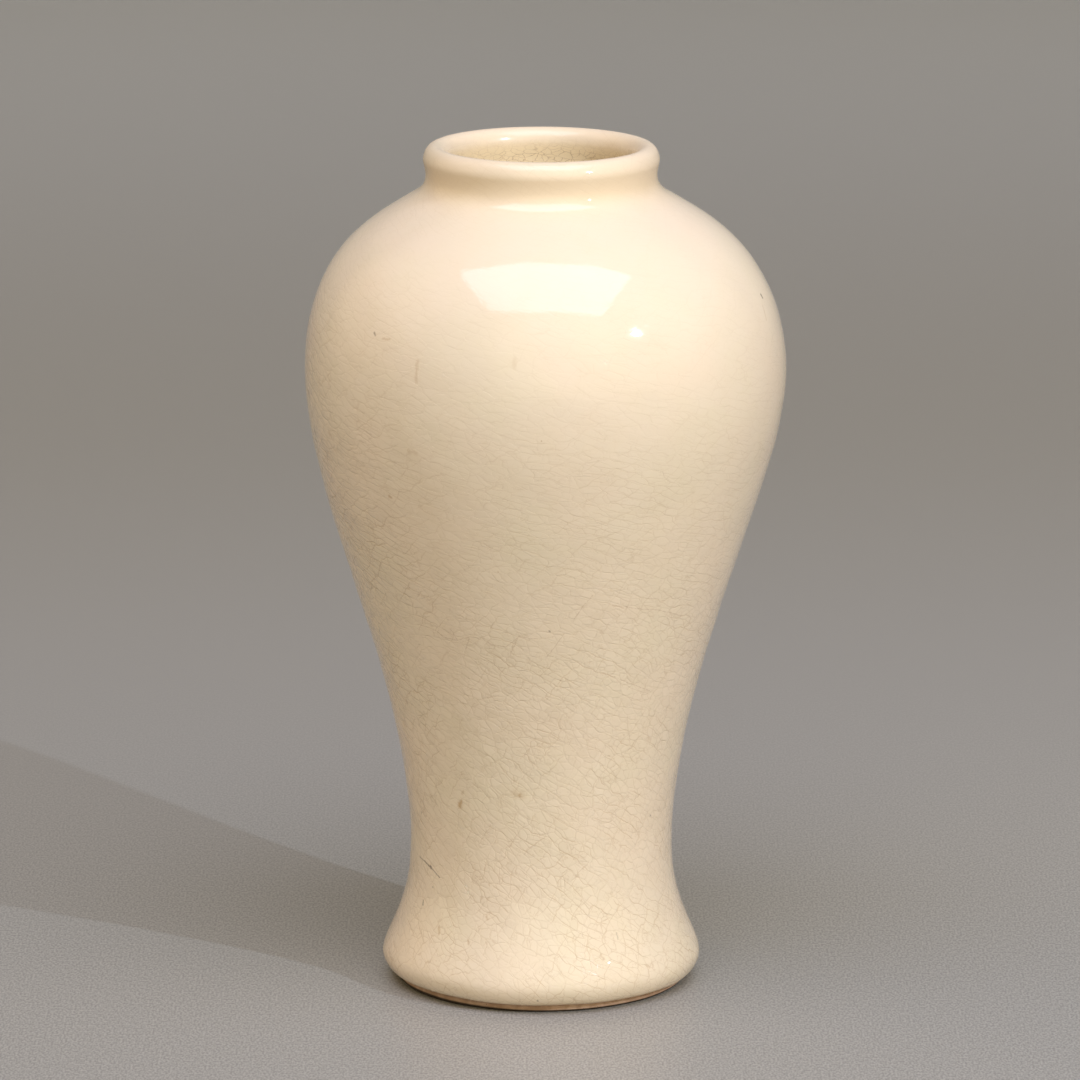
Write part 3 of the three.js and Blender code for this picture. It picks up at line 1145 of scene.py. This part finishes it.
# %% Clay sections and slip rings
turn("lower_body", "clay_foot_and_stem", fired_clay, "fired_clay")
turn("upper_body", "clay_belly_and_shoulder", fired_clay, "fired_clay")
turn("mouth_ring", "clay_neck_and_lip", fired_clay, "fired_clay")
turn("belly_slip_ring", "slip_in_belly_joint", luting_slip, "luting_slip")
turn("neck_slip_ring", "slip_in_neck_joint", luting_slip, "luting_slip")

# %% [markdown]
# ## The outer coat
# The coat runs from the foot up over the lip into the throat. Its lower edge was wiped by hand, so
# it wavers, a little lower on the right.

# %% Outer coat
GLAZE_EDGE = skin_rows[:, 1].min()
HEM_FADE = 3.0 * MM
HEM_LEAN = 0.2 * MM
# Each wave of the edge: its turns round the foot, its size, its phase
HEM_WAVES = ((5, 0.05 * MM, 1.0), (9, 0.035 * MM, 2.2), (17, 0.02 * MM, 0.4))


def glaze_hem(angle, height):
    """Rise of the glaze edge: lower on the right, with three small waves, gone a few mm above it."""
    waves = sum(size * np.sin(turns * angle + phase) for turns, size, phase in HEM_WAVES)
    fade = np.exp(-np.maximum(height - GLAZE_EDGE, 0) / HEM_FADE)
    return (waves - HEM_LEAN * np.cos(angle)) * fade


outer_coat = turn("outer_glaze", "glaze_outside", outer_glaze, "crackle_glaze", glaze_hem)

# %% [markdown]
# The coat's points carry the crackle: the places in its net, its threads and its relief. Past the
# crest, in the mouth, the cells are small and level, and the threads end. The points also carry how
# strong the cracks show, stronger on the left of the shoulder as painted shade where light grazes
# the relief; how tan the glaze is in the neck and the mouth, partly painted warm shade in the neck
# groove and painted light in the mouth; and how stained its cracks are there and at the lower edge.

# %% Crackle of the outer coat
LINE_STRENGTHS = np.array([0.66, 0.7, 0.72, 0.7, 0.66, 0.56, 0.4, 0.18, 0.06, 0.15])
RELIEFS = np.array([0.65, 0.95, 1.3, 1.4, 1.4, 1.1, 0.65, 0.3, 0.1, 0.1])
# Heights and shares of tan in the neck, peaking in the groove under the lip, where it is partly painted warm
# shade
TAN_HEIGHTS = np.array([0, 154, 156.5, 158.5, 160.5, 162.5, 165]) * MM
TAN_SHARES = np.array([0, 0, 0.3, 0.7, 0.55, 0.35, 0.25])
MOUTH_START = 1.4 * MM
MOUTH_FULL = 4.6 * MM
MOUTH_CELL = 0.9 * MM, 1.9 * MM
MOUTH_LINES = 0.5
EDGE_BAND = 1.2 * MM
EDGE_STAIN = 0.3

radius, height = skin_rows.T
past_crest = (np.arange(len(height)) > crest_row) * (skin_rows[crest_row, 1] - height)
in_mouth = np.clip((past_crest - MOUTH_START) / (MOUTH_FULL - MOUTH_START), 0, 1)
slant = np.interp(height, CRACKLE_HEIGHTS, CRACKLE_SLANTS)
width, length = [
    np.interp(height, CRACKLE_HEIGHTS, sizes) * (1 - in_mouth) + in_mouth * mouth_size
    for sizes, mouth_size in zip((CELL_WIDTHS, CELL_LENGTHS), MOUTH_CELL)]
lay_cells("outer_glaze", outer_coat, width, length, slant * (1 - in_mouth))
relief = np.interp(height, CRACKLE_HEIGHTS, RELIEFS)
lay_threads("outer_glaze", outer_coat, slant, 1 - in_mouth, relief)

strength = np.interp(height, CRACKLE_HEIGHTS, LINE_STRENGTHS) + MOUTH_LINES * in_mouth
tan = np.maximum(np.interp(height, TAN_HEIGHTS, TAN_SHARES), in_mouth)
edge = np.exp(-((height - GLAZE_EDGE) / EDGE_BAND) ** 2)
stained = np.maximum(MOUTH_STAIN * in_mouth, EDGE_STAIN * edge)
wear = np.repeat(np.c_[np.clip(strength, 0, 1), tan, stained][:, None], COLUMNS, axis=1)
# Painted shade: the cracks show stronger on the left of the shoulder, where light grazes the relief.
wear[..., 0] = np.minimum(wear[..., 0] * (1 + ROUGH_TONE * rough_side(height)), 1)
mark_points(outer_coat, "wear", "FLOAT_VECTOR", wear)

# %% [markdown]
# ## The inner and the base coat
# The inside has an even net of small cells. The base coat fills the recess under the foot, and
# takes the outer glaze's finish with an even net.

# %% Inner and base coats
INNER_CELL = 1.6 * MM, 2.2 * MM
BASE_CELL = 2.4 * MM, 2.4 * MM
BASE_WEAR = 0.8, 0.0, 0.0

inner_coat = turn("inner_glaze", "glaze_inside", inner_glaze, "inner_crackle_glaze")
lay_cells("inner_glaze", inner_coat, *INNER_CELL, 0.0)
base_coat = turn("base_glaze", "glaze_under_foot", outer_glaze, "crackle_glaze")
lay_cells("base_glaze", base_coat, *BASE_CELL, 0.0)
even = np.ones(len(outlines["base_glaze"]))
lay_threads("base_glaze", base_coat, CRACKLE_SLANTS[0], 0 * even, even)
mark_points(base_coat, "wear", "FLOAT_VECTOR", np.tile(BASE_WEAR, len(base_coat.data.vertices)))

# %% [markdown]
# ## The paper sweep
# The vase stands on a sheet of pale grey paper that runs back and curves up behind it, so no
# horizon shows. It is a profile carried along X: flat, a quarter round, and upright.

# %% Paper finish
PAPER = colour(163, 161, 159)
# Painted light: the paper far back is paler and cooler, as if more light fell there
PAPER_FAR = colour(196, 201, 217)
PAPER_DULL = 0.4
TOOTH_PALE = colour(177, 174, 168)
TOOTH_DARK = colour(137, 134, 130)
TOOTH_SIZE = 0.42 * MM
TOOTH_DRAW = (1.0, 0.45, 1.0)
TOOTH_CONTRAST = 0.3, 0.7
TOOTH_FADE = 0.0, 0.3
FAR_FADE = 0.45, 1.25


def paper_finish():
    """Matt paper with a fine mottled tooth that fades out behind the vase, and painted light that makes it
    paler and cooler far back.
    """
    finish, surface, place = new_finish("grey paper")
    away = split(place)["Y"]
    tooth = cloud(arrow("MULTIPLY", place, TOOTH_DRAW), 1 / TOOTH_SIZE, RICH)
    near = tint(ease(tooth, *TOOTH_CONTRAST), TOOTH_PALE, TOOTH_DARK)
    # Painted light: paler and cooler towards the back
    far = tint(ease(away, *FAR_FADE), PAPER, PAPER_FAR)
    lead(tint(ease(away, *TOOTH_FADE), near, far), surface["Base Color"])
    surface["Roughness"].default_value = PAPER_DULL
    return finish


grey_paper = paper_finish()
print("finish", grey_paper.name, "with", len(grey_paper.node_tree.nodes), "nodes")

# %% Paper sweep
SWEEP_HALF_WIDTH = 2.5
SWEEP_FRONT = -2.0
SWEEP_BEND = 1.6
SWEEP_RADIUS = 0.9
SWEEP_TOP = 2.2
SWEEP_ROWS = 24


def paper_sweep():
    """Grid of points (x, y, z): a line of y and z, flat then round then upright, at two values of x."""
    turn_up = np.linspace(-np.pi / 2, 0, SWEEP_ROWS)
    back = SWEEP_BEND + SWEEP_RADIUS
    y = np.concatenate([[SWEEP_FRONT], SWEEP_BEND + SWEEP_RADIUS * np.cos(turn_up), [back]])
    z = np.concatenate([[0], SWEEP_RADIUS * (1 + np.sin(turn_up)), [SWEEP_TOP]])
    left, right = [np.c_[np.full(len(y), side), y, z] for side in (-SWEEP_HALF_WIDTH, SWEEP_HALF_WIDTH)]
    row = np.arange(len(y) - 1)
    faces = np.c_[row, row + len(y), row + len(y) + 1, row + 1]
    mesh = bpy.data.meshes.new("paper_sweep")
    mesh.from_pydata(np.concatenate([left, right]), [], faces.tolist())
    mesh.polygons.foreach_set("use_smooth", np.ones(len(faces), bool))
    mesh.materials.append(grey_paper)
    sweep = bpy.data.objects.new("paper_sweep", mesh)
    bpy.context.scene.collection.objects.link(sweep)
    sweep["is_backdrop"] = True
    print("sweep with", len(faces), "faces")


paper_sweep()

# %% [markdown]
# ## Light
# Three lights make the picture. A wide, cool soft box hangs over the front and gives the shoulder
# its pale window. A small lamp on the right adds the pin-sharp glints and throws the faint shadow to
# the left. The room gives the rest: warm glows from in front, from the right and from the left, with
# no edge that the glaze could mirror.

# %% Lamps
SOFT_BOX_PLACE = Vector((0.01, -0.45, 1.05))
SOFT_BOX_AIM = Vector((0.01, -0.42, 0.0))
SOFT_BOX_SIZE = 1.09, 0.76
SOFT_BOX_POWER = 10.3
SOFT_BOX_COLOUR = (0.77, 0.795, 0.99)
LAMP_PLACE = Vector((0.697, -0.617, 0.60))
LAMP_AIM = Vector((0, 0, 0.1))
LAMP_SIZE = 0.013, 0.013
LAMP_POWER = 4.2
LAMP_COLOUR = (0.7, 0.82, 1.0)


def hang(name, data, place, aim):
    """A lamp or a camera at a place, facing another."""
    holder = bpy.data.objects.new(name, data)
    holder.location = place
    holder.rotation_euler = (aim - place).to_track_quat("-Z", "Y").to_euler()
    bpy.context.scene.collection.objects.link(holder)
    print(name, "at", [round(v, 2) for v in place])
    return holder


def area_light(name, shape, size, power, lamp_colour):
    """A flat lamp of a shape and a size."""
    lamp = bpy.data.lights.new(name, "AREA")
    lamp.shape = shape
    lamp.size, lamp.size_y = size
    lamp.energy = power
    lamp.color = lamp_colour
    return lamp


soft_box = area_light("soft_box", "RECTANGLE", SOFT_BOX_SIZE, SOFT_BOX_POWER, SOFT_BOX_COLOUR)
hang("soft_box", soft_box, SOFT_BOX_PLACE, SOFT_BOX_AIM)
side_lamp = area_light("side_lamp", "DISK", LAMP_SIZE, LAMP_POWER, LAMP_COLOUR)
hang("side_lamp", side_lamp, LAMP_PLACE, LAMP_AIM)

# %% Room
ROOM_LEVEL = (0.1, 0.09, 0.07)
# Each side of the room: the way to it, and its level
ROOM_SIDES = [
    ((0.082, -0.936, 0.342), (1.32, 1.22, 0.8)),
    ((0.77, -0.539, 0.342), (0.93, 0.68, 0.36)),
    ((-0.925, 0.163, 0.342), (1.0, 0.74, 0.4)),
]
GLOW_ENDS = np.radians(42)
GLOW_FULL = np.radians(6)


def room_light():
    """Light from all round, with a smooth glow from each side of the room.

    The cosine of the angle between a ray and the side goes through a smooth step, times its level.
    """
    room = bpy.data.worlds.new("room")
    room.use_nodes = True
    tree = room.node_tree
    ray = put(tree, "TexCoord", {})["Generated"]
    total = ROOM_LEVEL
    for side, level in ROOM_SIDES:
        facing = arrow("DOT_PRODUCT", ray, side, result="Value")
        share = ease(facing, np.cos(GLOW_ENDS), np.cos(GLOW_FULL))
        glow = put(tree, "VectorMath", {0: level, "Scale": share}, operation="SCALE")[0]
        total = arrow("ADD", glow, total)
    lead(total, tree.nodes["Background"].inputs["Color"])
    bpy.context.scene.world = room
    print("room light from", len(ROOM_SIDES), "sides")


room_light()

# %% [markdown]
# ## Camera
# A long lens from a little above the rim, as in the photograph: near enough to look into the mouth,
# far enough for the sides to stay almost parallel. The place and the focal length were worked out
# from the outline of the vase and the ellipses of its lip and foot.

# %% Camera
CAMERA_PLACE = Vector((-0.00025, -1.32257, 0.38776))
CAMERA_AIM = Vector((-0.00025, 0, 0.08719))
SENSOR = 36.0
FOCAL_PIXELS = 6983.8
PHOTO_PIXELS = 1080

camera = bpy.data.cameras.new("camera")
camera.sensor_width = SENSOR
camera.lens = SENSOR * FOCAL_PIXELS / PHOTO_PIXELS
bpy.context.scene.camera = hang("camera", camera, CAMERA_PLACE, CAMERA_AIM)
bpy.context.scene.view_settings.view_transform = "Standard"
print("lens", round(camera.lens, 1), "mm")

# %% [markdown] ## Sizes, and the end The box of the visual model is printed, to set beside the CAD model's.

# %% Sizes and finish
visual_box = [list(corner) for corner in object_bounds()]
print("visual box in mm:", np.round(np.array(visual_box) / MM, 1).tolist())
